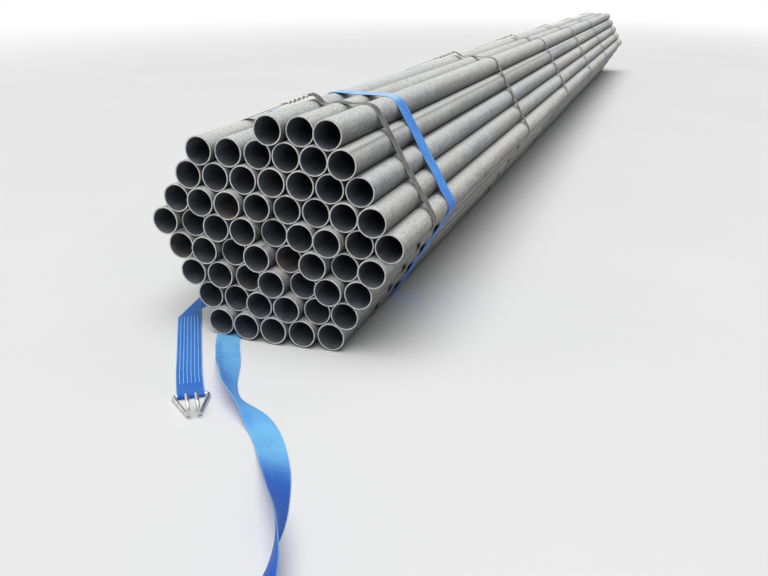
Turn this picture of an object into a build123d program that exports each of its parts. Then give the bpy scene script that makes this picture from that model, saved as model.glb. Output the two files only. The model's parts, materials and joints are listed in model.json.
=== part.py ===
from build123d import *
from math import asin, atan2, cos, degrees, hypot, radians, sin, sqrt, tan
import os

# A six-sided pack of round steel tubes in millimetres, lying along Y on the floor at Z = 0.
# The front ends face -Y. Steel straps hold the pack, and one webbing strap is thrown round it.

# Tubes
tube_od = 60.3
tube_wall = 3.2
tube_length = 6000.0
side_count = 5  # tubes along each of the six sides
missing_count = 2  # tubes taken out of the left end of the top row
row_gap = 1.7  # air between neighbours in a row
seat_gap = 0.3  # air between a tube and the two that it lies on
end_stagger = 12.0  # how far an end may stand out of line, either way

# Steel straps
strap_width = 25.4
strap_thickness = 0.9
strap_gap = 0.3  # air between a strap and the tubes under it
strap_count = 6
strap_front_margin = 205.0  # from the front ends to the middle of the first strap
strap_rear_margin = 400.0  # from the rear ends to the middle of the last strap
outer_bay_ratio = 1.13  # the first and last bays, over the bays between them
strap_slack = 9.0  # how far a strap stands off the tube beside its seal
strap_overlap = 18.0  # length of the strap's outer end that shows beyond the seal

# Crimped seal on each steel strap
seal_length = 55.0
seal_wall = 1.2
seal_gap = 0.2  # air between the sleeve and the strap in it
seal_slit = 4.0  # between the two flaps folded in below
seal_setback = 3.0  # from where the strap leaves the tube to the seal
crimp_count = 5
crimp_radius = 3.6
crimp_depth = 1.3

# Webbing strap
webbing_width = 50.0
webbing_thickness = 2.0
webbing_gap = 0.3  # air between the webbing and the tubes under it
webbing_station = 345.0  # from the front ends to the middle of the webbing
tail_clearance = 16.0  # from the middle of the corner tube to the edge of the loose tail

# Wire hook sewn into one end of the webbing
wire_diameter = 7.0
eye_gap = 0.3  # air between the hook's bar and the webbing round it
hook_shoulder = 8.0  # from the edge of the webbing to the corner of the bar
hook_corner_radius = 5.0
hook_length = 74.0
hook_tip_spacing = 17.0
hook_throat = 26.0
hook_bend_radius = 11.0
hook_point_length = 34.0

tube_radius = tube_od / 2
bore_radius = tube_radius - tube_wall
pitch = tube_od + row_gap
rise = sqrt((tube_od + seat_gap) ** 2 - (pitch / 2) ** 2)
row_count = 2 * side_count - 1
front_y = -tube_length / 2
rear_y = tube_length / 2
base_height = webbing_thickness + webbing_gap + tube_radius


def tubes_in(row):
    """How many places a row has. Row 1 is the top one."""
    return row_count - abs(row - side_count)


def first_slot(row):
    """The first filled place of a row, from the left."""
    return 1 + missing_count if row == 1 else 1


def centre(row, slot):
    """The middle of a tube, seen along the pack, as X and Z."""
    x = (slot - (tubes_in(row) + 1) / 2) * pitch
    return x, base_height + (row_count - row) * rise


def end_shift(row, slot):
    """How far along Y a tube has slid out of line."""
    return end_stagger * sin(2.1 * row + 3.7 * slot + 0.9 * row * slot)


filled = [
    (row, slot)
    for row in range(1, row_count + 1)
    for slot in range(first_slot(row), tubes_in(row) + 1)
]
shifts = [end_shift(row, slot) for row, slot in filled]
middle_shift = (min(shifts) + max(shifts)) / 2

os.makedirs("parts", exist_ok=True)

# Tubes, one row at a time
for row in range(1, row_count + 1):
    with BuildPart() as tube_row:
        for slot in range(first_slot(row), tubes_in(row) + 1):
            end_y = front_y + end_shift(row, slot) - middle_shift
            with BuildSketch(Plane.XZ.offset(-end_y)):
                with Locations(centre(row, slot)):
                    Circle(tube_radius)
                    Circle(bore_radius, mode=Mode.SUBTRACT)
            extrude(amount=-tube_length)
    tube_row.part.label = f"tube_row_{row}"
    export_step(tube_row.part, f"parts/tube_row_{row}.step")

# Corners of the pack that a band round it bears on
crown = centre(1, first_slot(1))
shoulder = centre(2, 1)
top_right = centre(1, tubes_in(1))
left_side = centre(side_count, 1)
right_side = centre(side_count, row_count)
foot_left = centre(row_count, 1)
foot_right = centre(row_count, side_count)
tight_corners = [shoulder, top_right, left_side, right_side, foot_left, foot_right]

# The shape of a steel strap, seen along the pack: tight on every corner but the crown
strap_inner = tube_radius + strap_gap
crown_inner = tube_radius + strap_slack
with BuildSketch() as inside_strap:
    with Locations(*tight_corners):
        Circle(strap_inner)
    with Locations(crown):
        Circle(crown_inner)
    make_hull()
with BuildSketch() as strap_loop:
    with Locations(*tight_corners):
        Circle(strap_inner + strap_thickness)
    with Locations(crown):
        Circle(crown_inner + strap_thickness)
    make_hull()
    add(inside_strap.sketch, mode=Mode.SUBTRACT)

# The free span of a strap runs from the crown tube down to the shoulder tube, and the seal is
# at the top of it. The span is the outer tangent of the two circles that the strap turns on.
span_across = crown[0] - shoulder[0]
span_down = crown[1] - shoulder[1]
spread = asin((crown_inner - strap_inner) / hypot(span_across, span_down))
span_slope = atan2(span_down, span_across) + spread
span_out = Vector(-sin(span_slope), 0, cos(span_slope))
span_along = Vector(-cos(span_slope), 0, -sin(span_slope))
span_start = Vector(crown[0], 0, crown[1]) + span_out * crown_inner
seal_middle = span_start + span_along * (seal_setback + seal_length / 2)

strap_span = tube_length - strap_front_margin - strap_rear_margin
inner_bay = strap_span / (strap_count - 3 + 2 * outer_bay_ratio)
first_station = front_y + strap_front_margin
strap_stations = [first_station]
for step in range(strap_count - 2):
    strap_stations.append(first_station + inner_bay * (outer_bay_ratio + step))
strap_stations.append(rear_y - strap_rear_margin)

seal_inside_width = strap_width + 2 * seal_gap
seal_inside_height = 2 * (strap_thickness + seal_gap)
seal_outside_width = seal_inside_width + 2 * seal_wall
nip_spread = seal_outside_width + 2 * (crimp_radius - crimp_depth)

for number, station in enumerate(strap_stations, 1):
    seal_place = Plane(
        origin=seal_middle + Vector(0, station, 0), x_dir=span_along, z_dir=span_out
    )

    # The strap, with its outer end lying on its inner end through the seal and beyond it
    with BuildPart() as strap:
        with BuildSketch(Plane.XZ.offset(-station)):
            add(strap_loop.sketch)
        extrude(amount=strap_width / 2, both=True)
        with BuildSketch(seal_place.offset(strap_thickness / 2)):
            with Locations((strap_overlap / 2, 0)):
                Rectangle(seal_length + strap_overlap, strap_width)
        extrude(amount=1.5 * strap_thickness)
    strap.part.label = f"steel_strap_{number}"
    export_step(strap.part, f"parts/steel_strap_{number}.step")

    # The sleeve folded round both layers, nipped along its two edges
    with BuildPart() as seal:
        with BuildSketch(seal_place.offset(-seal_gap - seal_wall)):
            Rectangle(seal_length, seal_outside_width)
            with GridLocations(seal_length / crimp_count, nip_spread, crimp_count, 2):
                Circle(crimp_radius, mode=Mode.SUBTRACT)
        extrude(amount=seal_inside_height + 2 * seal_wall)
        with BuildSketch(seal_place.offset(-seal_gap)):
            Rectangle(seal_length, seal_inside_width)
        extrude(amount=seal_inside_height, mode=Mode.SUBTRACT)
        with BuildSketch(seal_place.offset(-seal_gap - seal_wall)):
            Rectangle(seal_length, seal_slit)
        extrude(amount=seal_wall, mode=Mode.SUBTRACT)
    seal.part.label = f"strap_seal_{number}"
    export_step(seal.part, f"parts/strap_seal_{number}.step")

# The webbing goes from the floor straight up to the widest tube on the left, over the pack,
# down its right side, under it, and out over the floor on the left.
webbing_inner = tube_radius + webbing_gap
webbing_y = front_y + webbing_station
tail_reach = tail_clearance + webbing_width
with BuildSketch() as inside_webbing:
    with Locations(crown, *tight_corners):
        Circle(webbing_inner)
    make_hull()
with BuildPart() as wrap:
    with BuildSketch(Plane.XZ.offset(-webbing_y)):
        with Locations(crown, *tight_corners):
            Circle(webbing_inner + webbing_thickness)
        make_hull()
        add(inside_webbing.sketch, mode=Mode.SUBTRACT)
        with Locations((foot_left[0], left_side[1])):
            Rectangle(
                foot_left[0] - left_side[0] + tube_od,
                left_side[1],
                align=Align.MAX,
                mode=Mode.SUBTRACT,
            )
        with Locations((left_side[0] - webbing_inner, 0)):
            Rectangle(webbing_thickness, left_side[1], align=(Align.MAX, Align.MIN))
        with Locations((foot_left[0], 0)):
            Rectangle(tail_reach, webbing_thickness, align=(Align.MAX, Align.MIN))
    extrude(amount=webbing_width / 2, both=True)
wrap.part.label = "webbing_wrap"
export_step(wrap.part, "parts/webbing_wrap.step")


def on_floor(across, ahead):
    """A point on the floor, across the pack and ahead of its front ends."""
    return Vector(across, front_y - ahead, 0)


def bend_radii(route):
    """The largest even arc at each corner of a route, 0.45 of the shorter run on each side."""
    radii = []
    for before, corner, after in zip(route, route[1:], route[2:]):
        turn = radians((corner - before).get_angle(after - corner))
        shorter = min((corner - before).length, (after - corner).length)
        radii.append(0.45 * shorter / tan(turn / 2))
    return radii


# The loose tail starts at the front edge of the webbing under the left of the pack.
tail_x = foot_left[0] - tail_clearance - webbing_width / 2
tail_start = webbing_width / 2 - webbing_station
tail_route = [
    on_floor(tail_x, tail_start),
    on_floor(tail_x + 3, -200),
    on_floor(tail_x + 26, -85),
    on_floor(-92, 50),
    on_floor(12, 188),
    on_floor(140, 322),
    on_floor(230, 450),
    on_floor(282, 562),
    on_floor(312, 648),
    on_floor(331, 722),
]
tail_radii = bend_radii(tail_route)
with BuildPart() as tail:
    with BuildLine() as tail_path:
        FilletPolyline(*tail_route, radius=tail_radii)
    with BuildSketch(Plane.XZ.offset(-tail_route[0].Y)):
        with Locations((tail_x, 0)):
            Rectangle(webbing_width, webbing_thickness, align=(Align.CENTER, Align.MIN))
    sweep(path=tail_path.line)
tail.part.label = "webbing_tail"
export_step(tail.part, "parts/webbing_tail.step")

# The hook end lies beside the foot of the hanging webbing and runs forward to its eye.
hook_end_x = left_side[0] - webbing_inner - webbing_thickness - webbing_width / 2
hook_end_start = -webbing_width / 2 - webbing_station
hook_end_route = [
    on_floor(hook_end_x, hook_end_start),
    on_floor(hook_end_x - 2, -240),
    on_floor(-278, -95),
    on_floor(-195, 45),
    on_floor(-110, 165),
    on_floor(-38, 262),
]
hook_end_radii = bend_radii(hook_end_route)
eye_inner = wire_diameter / 2 + eye_gap
eye_outer = eye_inner + webbing_thickness
hook_way = (hook_end_route[-1] - hook_end_route[-2]).normalized()
eye_centre = hook_end_route[-1] + Vector(0, 0, eye_outer)
eye_place = Plane(origin=eye_centre, x_dir=hook_way, z_dir=hook_way.cross(Vector(0, 0, 1)))
with BuildPart() as hook_end:
    with BuildLine() as hook_end_path:
        FilletPolyline(*hook_end_route, radius=hook_end_radii)
    with BuildSketch(Plane.XZ.offset(-hook_end_route[0].Y)):
        with Locations((hook_end_x, 0)):
            Rectangle(webbing_width, webbing_thickness, align=(Align.CENTER, Align.MIN))
    sweep(path=hook_end_path.line)
    with BuildSketch(eye_place):
        Circle(eye_outer)
    extrude(amount=webbing_width / 2, both=True)
    with BuildSketch(eye_place):
        Circle(eye_inner)
    extrude(amount=webbing_width / 2, both=True, mode=Mode.SUBTRACT)
hook_end.part.label = "webbing_hook_end"
export_step(hook_end.part, "parts/webbing_hook_end.step")

# The hook is one bent wire. Its bar lies in the eye, and its bends touch the floor.
bar_half = webbing_width / 2 + hook_shoulder
tip_half = hook_tip_spacing / 2
low = wire_diameter / 2 - eye_outer
high = low + hook_throat
point_x = hook_length - hook_point_length
hook_place = Plane(origin=eye_centre, x_dir=hook_way, z_dir=(0, 0, 1))
half_wire = [
    (point_x, tip_half, high),
    (hook_length, tip_half, high),
    (hook_length, tip_half, low),
    (0, bar_half, 0),
]
other_half = [(x, -y, z) for x, y, z in reversed(half_wire)]
half_bends = [hook_bend_radius, hook_bend_radius, hook_corner_radius]
with BuildPart() as hook:
    with BuildLine(hook_place) as wire_path:
        FilletPolyline(*half_wire, *other_half, radius=half_bends + half_bends[::-1])
    tip_place = Plane(
        origin=hook_place.from_local_coords(half_wire[0]), z_dir=hook_way
    )
    with BuildSketch(tip_place):
        Circle(wire_diameter / 2)
    sweep(path=wire_path.line)
hook.part.label = "wire_hook"
export_step(hook.part, "parts/wire_hook.step")

for name, path, radii in (
    ("tail", tail_path.wire(), tail_radii),
    ("hook end", hook_end_path.wire(), hook_end_radii),
):
    print(f"{name}: {path.length:.0f} mm along the floor, bend radii", [round(r) for r in radii])
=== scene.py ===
"""A six-sided pack of round steel tubes with its steel straps, crimped seals and blue webbing.

Metres, +Z up, front ends of the tubes towards -Y.
"""

import json
from math import acos, atan2, ceil, cos, hypot, pi, radians, sin, sqrt

import bpy
import numpy as np
from mathutils import Matrix, Vector
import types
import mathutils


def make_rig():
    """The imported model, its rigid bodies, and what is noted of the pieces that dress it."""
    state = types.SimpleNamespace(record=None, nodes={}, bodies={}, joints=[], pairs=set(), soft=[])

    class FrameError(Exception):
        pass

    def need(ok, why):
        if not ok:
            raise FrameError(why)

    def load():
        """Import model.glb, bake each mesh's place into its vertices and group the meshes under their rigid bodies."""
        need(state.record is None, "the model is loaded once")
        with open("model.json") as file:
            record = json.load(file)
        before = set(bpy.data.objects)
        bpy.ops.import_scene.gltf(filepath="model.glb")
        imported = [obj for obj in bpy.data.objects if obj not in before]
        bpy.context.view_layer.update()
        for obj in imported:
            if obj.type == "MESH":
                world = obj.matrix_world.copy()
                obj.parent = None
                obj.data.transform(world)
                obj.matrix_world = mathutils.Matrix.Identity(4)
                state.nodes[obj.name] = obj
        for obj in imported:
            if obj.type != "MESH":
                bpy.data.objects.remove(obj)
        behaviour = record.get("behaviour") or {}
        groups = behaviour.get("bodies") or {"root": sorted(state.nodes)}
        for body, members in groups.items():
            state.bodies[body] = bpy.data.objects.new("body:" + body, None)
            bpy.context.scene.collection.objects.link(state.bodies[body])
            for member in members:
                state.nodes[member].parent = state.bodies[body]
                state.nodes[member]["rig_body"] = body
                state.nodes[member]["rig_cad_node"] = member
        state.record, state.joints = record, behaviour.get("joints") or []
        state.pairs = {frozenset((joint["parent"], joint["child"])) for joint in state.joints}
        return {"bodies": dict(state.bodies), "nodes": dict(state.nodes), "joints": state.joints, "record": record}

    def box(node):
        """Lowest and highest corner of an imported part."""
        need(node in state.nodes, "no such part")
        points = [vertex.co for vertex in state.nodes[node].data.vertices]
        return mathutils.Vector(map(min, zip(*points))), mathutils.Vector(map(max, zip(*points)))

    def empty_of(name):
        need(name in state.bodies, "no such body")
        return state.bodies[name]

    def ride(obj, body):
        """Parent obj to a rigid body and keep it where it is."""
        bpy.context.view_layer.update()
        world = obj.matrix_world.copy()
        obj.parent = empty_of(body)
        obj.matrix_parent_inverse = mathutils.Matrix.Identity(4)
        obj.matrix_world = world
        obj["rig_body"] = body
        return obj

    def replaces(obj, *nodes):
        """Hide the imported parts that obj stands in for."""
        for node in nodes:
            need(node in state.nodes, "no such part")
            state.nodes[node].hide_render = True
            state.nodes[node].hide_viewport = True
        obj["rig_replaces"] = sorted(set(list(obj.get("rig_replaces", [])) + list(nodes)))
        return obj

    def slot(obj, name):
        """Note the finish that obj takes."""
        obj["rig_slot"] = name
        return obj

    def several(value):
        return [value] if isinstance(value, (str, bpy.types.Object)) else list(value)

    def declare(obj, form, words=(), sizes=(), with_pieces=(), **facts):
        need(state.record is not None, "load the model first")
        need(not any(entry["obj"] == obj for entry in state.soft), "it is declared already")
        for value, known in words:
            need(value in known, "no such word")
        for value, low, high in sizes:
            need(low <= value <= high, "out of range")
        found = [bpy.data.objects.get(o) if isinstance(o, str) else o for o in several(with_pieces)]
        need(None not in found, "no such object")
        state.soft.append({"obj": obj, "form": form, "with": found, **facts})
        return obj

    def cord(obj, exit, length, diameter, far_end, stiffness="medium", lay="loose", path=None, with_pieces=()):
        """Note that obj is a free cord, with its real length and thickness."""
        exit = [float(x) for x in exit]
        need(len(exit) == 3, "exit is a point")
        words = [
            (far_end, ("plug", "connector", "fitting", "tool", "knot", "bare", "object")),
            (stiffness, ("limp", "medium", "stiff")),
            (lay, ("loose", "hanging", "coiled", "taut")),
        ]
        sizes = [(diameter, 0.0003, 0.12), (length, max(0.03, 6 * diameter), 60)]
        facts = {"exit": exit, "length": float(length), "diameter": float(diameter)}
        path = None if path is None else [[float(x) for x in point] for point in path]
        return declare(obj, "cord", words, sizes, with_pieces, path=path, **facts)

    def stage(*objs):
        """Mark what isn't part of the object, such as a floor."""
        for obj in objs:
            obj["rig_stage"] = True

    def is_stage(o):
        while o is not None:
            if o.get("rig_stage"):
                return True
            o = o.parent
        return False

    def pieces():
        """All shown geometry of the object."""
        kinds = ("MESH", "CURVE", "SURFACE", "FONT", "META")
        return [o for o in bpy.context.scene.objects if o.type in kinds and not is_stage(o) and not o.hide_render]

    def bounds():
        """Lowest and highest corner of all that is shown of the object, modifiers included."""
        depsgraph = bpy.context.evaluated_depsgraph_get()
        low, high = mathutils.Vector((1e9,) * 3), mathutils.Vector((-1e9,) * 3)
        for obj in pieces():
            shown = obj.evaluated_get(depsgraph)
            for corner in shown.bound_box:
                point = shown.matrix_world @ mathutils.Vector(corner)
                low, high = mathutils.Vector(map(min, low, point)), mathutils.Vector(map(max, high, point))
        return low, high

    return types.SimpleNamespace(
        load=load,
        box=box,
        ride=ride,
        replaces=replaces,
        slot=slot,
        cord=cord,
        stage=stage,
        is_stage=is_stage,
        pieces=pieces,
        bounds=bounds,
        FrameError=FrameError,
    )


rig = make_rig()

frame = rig.load()
cad_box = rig.bounds()
nodes = frame["nodes"]
scene = bpy.context.scene
rng = np.random.default_rng(59)

# The pack, with the tubes' size from the frame
ROW_COUNT = 9
SIDE_COUNT = 5  # tubes along each of the six sides
MISSING_COUNT = 2  # tubes taken out of the left end of the top row
row_box = {row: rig.box(f"tube_row_{row}") for row in range(1, ROW_COUNT + 1)}
middle_low, middle_high = row_box[SIDE_COUNT]
TUBE_R = (middle_high.z - middle_low.z) / 2
PITCH = (middle_high.x - middle_low.x - 2 * TUBE_R) / (ROW_COUNT - 1)
BORE_R = 0.02695  # inside a wall of 3.2 mm
STRAP_COUNT = 6

# Steel straps and seals
STRAP_W = 0.0254
STRAP_T = 0.0009
STRAP_GAP = 0.0003  # from the tubes
STRAP_SLACK = 0.009  # from the crown tube
SEAL_LENGTH = 0.055
SEAL_WALL = 0.0012
SEAL_SETBACK = 0.003  # of the seal from the top of the sloping span
SEAL_WAVES = 5  # crimps along a seal
STRAP_END = 0.018  # of the cut end past the seal

# Webbing
WEB_W = 0.05
WEB_T = 0.002
WEB_GAP = 0.0003  # from the tubes
wrap_low, wrap_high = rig.box("webbing_wrap")
WEB_Y = (wrap_low.y + wrap_high.y) / 2


# Helpers for meshes
def unit(v):
    """A vector at length 1, or each one of a list of them."""
    return v / np.linalg.norm(v, axis=-1, keepdims=True)


def add_object(name, data):
    """An object in the scene for a mesh, a lamp or a camera."""
    obj = bpy.data.objects.new(name, data)
    scene.collection.objects.link(obj)
    return obj


def make_object(name, verts, faces, materials, sharp=40, uvs=None, slots=None):
    """A mesh object from lists of corners and faces, smooth apart from its sharp edges."""
    mesh = bpy.data.meshes.new(name)
    mesh.from_pydata([tuple(v) for v in verts], [], [tuple(f) for f in faces])
    mesh.polygons.foreach_set("use_smooth", np.ones(len(mesh.polygons), dtype=bool))
    if slots is not None:
        mesh.polygons.foreach_set("material_index", np.asarray(slots, dtype=np.int32))
    if uvs is not None:
        layer = mesh.uv_layers.new(name="Wall")
        layer.uv.foreach_set("vector", np.asarray(uvs, dtype=np.float32).ravel())
    mesh.update()
    mesh.set_sharp_from_angle(angle=radians(sharp))
    for material in materials:
        mesh.materials.append(material)
    return add_object(name, mesh)


def own_number(obj, values):
    """Keeps one number for each face, so that the pieces in one mesh differ."""
    attribute = obj.data.attributes.new("own", "FLOAT", "FACE")
    attribute.data.foreach_set("value", np.asarray(values, dtype=np.float32))


def tube_centres(row):
    """The middle of each tube of a row, as X and Z, with its front and rear ends."""
    low, high = row_box[row]
    count = ROW_COUNT - abs(row - SIDE_COUNT)
    first = 1 + MISSING_COUNT if row == 1 else 1
    verts = np.array([v.co for v in nodes[f"tube_row_{row}"].data.vertices])
    reach = (TUBE_R + PITCH / 2) / 2  # over the tube's wall, short of its neighbour's
    found = {}
    for slot in range(first, count + 1):
        x = low.x + TUBE_R + (slot - first) * PITCH
        ends = verts[np.abs(verts[:, 0] - x) < reach][:, 1]
        found[slot] = (x, (low.z + high.z) / 2, ends.min(), ends.max())
    return found


tubes = {row: tube_centres(row) for row in range(1, ROW_COUNT + 1)}


# Materials
class Nodes:
    """Short ways to add shader nodes to a material or a world."""

    def __init__(self, owner, output="ShaderNodeOutputMaterial"):
        owner.use_nodes = True
        self.tree = owner.node_tree
        self.tree.nodes.clear()
        self.out = self.add(output)

    def add(self, kind, **settings):
        node = self.tree.nodes.new(kind)
        for key, value in settings.items():
            setattr(node, key, value)
        return node

    def link(self, source, target):
        self.tree.links.new(source, target)

    def put(self, value, target):
        """Links a socket, or sets a plain number or colour on the target itself."""
        if isinstance(value, bpy.types.NodeSocket):
            self.link(value, target)
        elif hasattr(value, "__len__") and len(value) == 3 and target.type == "RGBA":
            target.default_value = (*value, 1)
        else:
            target.default_value = value

    def fill(self, node, **values):
        """Fills in a node's inputs by their names, and gives its first output."""
        for key, value in values.items():
            self.put(value, node.inputs[key.replace("_", " ")])
        return node.outputs[0]

    def split(self, vector):
        parts = self.add("ShaderNodeSeparateXYZ")
        self.link(vector, parts.inputs[0])
        return parts.outputs

    def wall_parts(self):
        """Metres round the piece, or across a band, and metres along it."""
        return self.split(self.add("ShaderNodeUVMap", uv_map="Wall").outputs[0])[:2]

    def wall(self, u=1.0, v=1.0, w=1.0):
        """The same two lengths, stretched, with the piece's own number as the third.

        Each noise has another w, so that no two have the same pattern.
        """
        round_it, along = self.wall_parts()
        joined = self.add("ShaderNodeCombineXYZ")
        for part, stretch, target in zip((round_it, along, self.own()), (u, v, w), joined.inputs):
            self.link(self.times(part, stretch), target)
        return joined.outputs[0]

    def own(self):
        return self.add("ShaderNodeAttribute", attribute_name="own").outputs["Fac"]

    def place(self):
        return self.add("ShaderNodeTexCoord").outputs["Object"]

    def facing_up(self):
        """How far the surface faces up, from -1 to 1."""
        return self.split(self.add("ShaderNodeNewGeometry").outputs["Normal"])[2]

    def noise(self, vector, scale, detail=4.0, roughness=0.55):
        node = self.add("ShaderNodeTexNoise")
        return self.fill(node, Vector=vector, Scale=scale, Detail=detail, Roughness=roughness)

    def math(self, operation, a, b=0.0, clamp=False):
        node = self.add("ShaderNodeMath", operation=operation, use_clamp=clamp)
        self.put(a, node.inputs[0])
        self.put(b, node.inputs[1])
        return node.outputs[0]

    def absolute(self, value):
        return self.math("ABSOLUTE", value)

    def sine(self, distance, wave_length):
        """Waves along a distance in metres."""
        return self.math("SINE", self.times(distance, 2 * pi / wave_length))

    def times(self, a, b, clamp=False):
        return self.math("MULTIPLY", a, b, clamp=clamp)

    def plus(self, a, b):
        return self.math("ADD", a, b)

    def minus(self, a, b):
        return self.math("SUBTRACT", a, b)

    def total(self, *terms):
        """The sum of sockets, each with the number that it counts for."""
        first, *rest = [self.times(value, share) for value, share in terms]
        for part in rest:
            first = self.plus(first, part)
        return first

    def between(self, value, low, high, to_low=0.0, to_high=1.0):
        """A smooth step of a value from low to high."""
        node = self.add("ShaderNodeMapRange", interpolation_type="SMOOTHSTEP")
        return self.fill(
            node, Value=value, From_Min=low, From_Max=high, To_Min=to_low, To_Max=to_high
        )

    def spots(self, vector, scale, detail, roughness, low, high):
        """Spots with soft edges: 0 where a noise is below low, 1 where it is above high."""
        return self.between(self.noise(vector, scale, detail, roughness), low, high)

    def mix(self, share, a, b):
        node = self.add("ShaderNodeMix", data_type="RGBA")
        self.put(share, node.inputs[0])
        self.put(a, node.inputs[6])
        self.put(b, node.inputs[7])
        return node.outputs[2]

    def ramp(self, value, stops):
        node = self.add("ShaderNodeValToRGB")
        self.link(value, node.inputs[0])
        elements = node.color_ramp.elements
        while len(elements) < len(stops):
            elements.new(0.5)
        for element, (place, colour) in zip(elements, stops):
            element.position = place
            element.color = (*colour, 1)
        return node.outputs[0]

    def bump(self, height, strength, distance):
        node = self.add("ShaderNodeBump")
        return self.fill(node, Height=height, Strength=strength, Distance=distance)


class Surface(Nodes):
    """A new material with its main shader, and its colour that is built up in layers."""

    def __init__(self, name):
        self.material = bpy.data.materials.new(name)
        super().__init__(self.material)
        self.shader = self.add("ShaderNodeBsdfPrincipled")
        self.link(self.shader.outputs[0], self.out.inputs["Surface"])

    def lay(self, mask, share, over):
        """Lays a colour over the one so far where the mask is 1, up to a share."""
        self.colour = self.mix(self.times(mask, share), self.colour, over)

    def complete(self, bump, **values):
        """Fills in the main shader and gives the material."""
        self.fill(self.shader, Base_Color=self.colour, Normal=bump, **values)
        return self.material


def tube_outside():
    """Dull, pale steel: streaked lengthwise, dusty and painted lighter on top as a highlight, with painted shade
    below, and a weld line.
    """
    n = Surface("tube_outside")
    mottle = n.noise(n.wall(v=0.7, w=9), 75, 8, 0.7)
    streak = n.noise(n.wall(v=0.018, w=11), 210, 5, 0.6)
    broad = n.noise(n.wall(v=0.22, w=5), 4.5, 3, 0.5)
    fine = n.noise(n.wall(v=0.7, w=3), 240, 4, 0.7)
    tone = n.total((mottle, 0.36), (streak, 0.26), (broad, 0.3), (fine, 0.24))
    dark = [(0.46, (0.09, 0.093, 0.095)), (0.55, (0.245, 0.249, 0.246))]
    light = [(0.62, (0.4, 0.405, 0.393)), (0.71, (0.66, 0.66, 0.638))]
    n.colour = n.ramp(tone, dark + light)
    # Each tube leans a little to green, blue or brown
    tint = n.noise(n.wall(u=0.6, v=0.15, w=41), 6, 2, 0.5)
    tints = [(0.38, (0.215, 0.26, 0.325)), (0.5, (0.29, 0.3, 0.27)), (0.62, (0.39, 0.345, 0.265))]
    n.colour = n.mix(0.44, n.colour, n.ramp(tint, tints))
    # Pale dried patches and darker handled ones
    dried = n.spots(n.wall(v=0.45, w=53), 19, 7, 0.68, 0.54, 0.66)
    n.lay(dried, 0.4, (0.53, 0.54, 0.525))
    handled = n.spots(n.wall(v=0.45, w=59), 15, 7, 0.68, 0.55, 0.68)
    n.lay(handled, 0.45, (0.125, 0.13, 0.135))
    # Dust with a painted highlight where the wall faces up, and painted shade where it faces down
    up = n.facing_up()
    # Partly real dust, partly a painted highlight along the tube's top
    dust_and_painted_highlight = n.times(n.between(up, 0.25, 0.97), n.between(fine, 0.3, 0.66, 0.45, 1.0))
    n.lay(dust_and_painted_highlight, 0.74, (0.8, 0.805, 0.785))
    # Painted shade: the wall is darkened where it faces down and in the grooves between tubes
    low = n.between(up, 0.54, -0.4)
    n.lay(low, 0.88, (0.04, 0.041, 0.044))
    # Faint yellow and green stains
    stain = n.spots(n.wall(v=0.3, w=17), 9, 5, 0.6, 0.58, 0.74)
    n.lay(stain, 0.4, (0.43, 0.4, 0.255))
    # Scuffs from handling, along and across
    scratch = n.spots(n.wall(v=0.012, w=23), 900, 2, 0.5, 0.66, 0.74)
    patch = n.between(n.noise(n.wall(w=29), 3, 3), 0.5, 0.62)
    scratch = n.times(scratch, patch)
    n.lay(scratch, 0.5, (0.68, 0.67, 0.64))
    rub = n.spots(n.wall(u=0.5, w=31), 90, 5, 0.65, 0.62, 0.74)
    n.lay(rub, 0.35, (0.12, 0.118, 0.115))
    fleck = n.spots(n.wall(v=0.6, w=47), 330, 3, 0.6, 0.66, 0.74)
    n.lay(fleck, 0.45, (0.66, 0.66, 0.64))
    # The long weld and the blued steel beside it
    across = n.absolute(n.wall_parts()[0])
    blued = n.between(across, 0.0075, 0.003)
    n.lay(blued, 0.35, (0.16, 0.165, 0.185))
    weld = n.between(across, 0.0016, 0.0006)
    n.lay(weld, 0.55, (0.09, 0.085, 0.08))
    # Rust freckles
    freckle = n.spots(n.wall(w=37), 75, 6, 0.7, 0.69, 0.76)
    n.lay(freckle, 0.55, (0.235, 0.125, 0.065))
    height = n.total((fine, 0.25), (streak, 0.5), (weld, -0.6), (mottle, 0.6))
    rough = n.total((n.between(tone, 0.35, 0.8, 0.6, 0.42), 1.0), (dust_and_painted_highlight, 0.12))
    return n.complete(
        n.bump(height, 0.35, 0.0007), Roughness=rough, Metallic=0.32, Specular_IOR_Level=0.5
    )


def tube_cut():
    """The sawn wall: bright steel with saw lines and a few rusty spots."""
    n = Surface("tube_cut")
    grain = n.noise(n.place(), 900, 3, 0.6)
    saw = n.noise(n.wall(w=3), 60, 4, 0.6)
    bright = [(0.3, (0.42, 0.415, 0.4)), (0.55, (0.66, 0.655, 0.63)), (0.8, (0.76, 0.755, 0.73))]
    n.colour = n.ramp(saw, bright)
    rust = n.spots(n.place(), 45, 5, 0.7, 0.6, 0.72)
    n.lay(rust, 0.5, (0.27, 0.17, 0.1))
    rough = n.between(grain, 0.3, 0.7, 0.34, 0.55)
    return n.complete(n.bump(grain, 0.5, 0.0003), Roughness=rough, Metallic=0.45)


def tube_inside():
    """The bore: blue-black scale, painted paler on its floor as light falling in, brown where water stood."""
    n = Surface("tube_inside")
    mottle = n.noise(n.wall(v=0.5, w=7), 40, 6, 0.6)
    streak = n.noise(n.wall(v=0.05, w=13), 130, 4, 0.6)
    tone = n.total((mottle, 0.6), (streak, 0.4))
    blue = [(0.3, (0.044, 0.054, 0.074)), (0.55, (0.108, 0.124, 0.152)), (0.8, (0.19, 0.204, 0.23))]
    n.colour = n.ramp(tone, blue)
    # Painted light: the bore is paler where it faces up
    low = n.between(n.facing_up(), 0.3, 0.95)
    n.lay(low, 0.35, (0.205, 0.21, 0.22))
    rusty = n.times(n.between(n.own(), 0.75, 0.95), n.between(mottle, 0.45, 0.62))
    n.lay(rusty, 0.75, (0.235, 0.14, 0.08))
    rough = n.between(mottle, 0.3, 0.7, 0.45, 0.7)
    return n.complete(n.bump(mottle, 0.4, 0.0006), Roughness=rough, Metallic=0.2)


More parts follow.
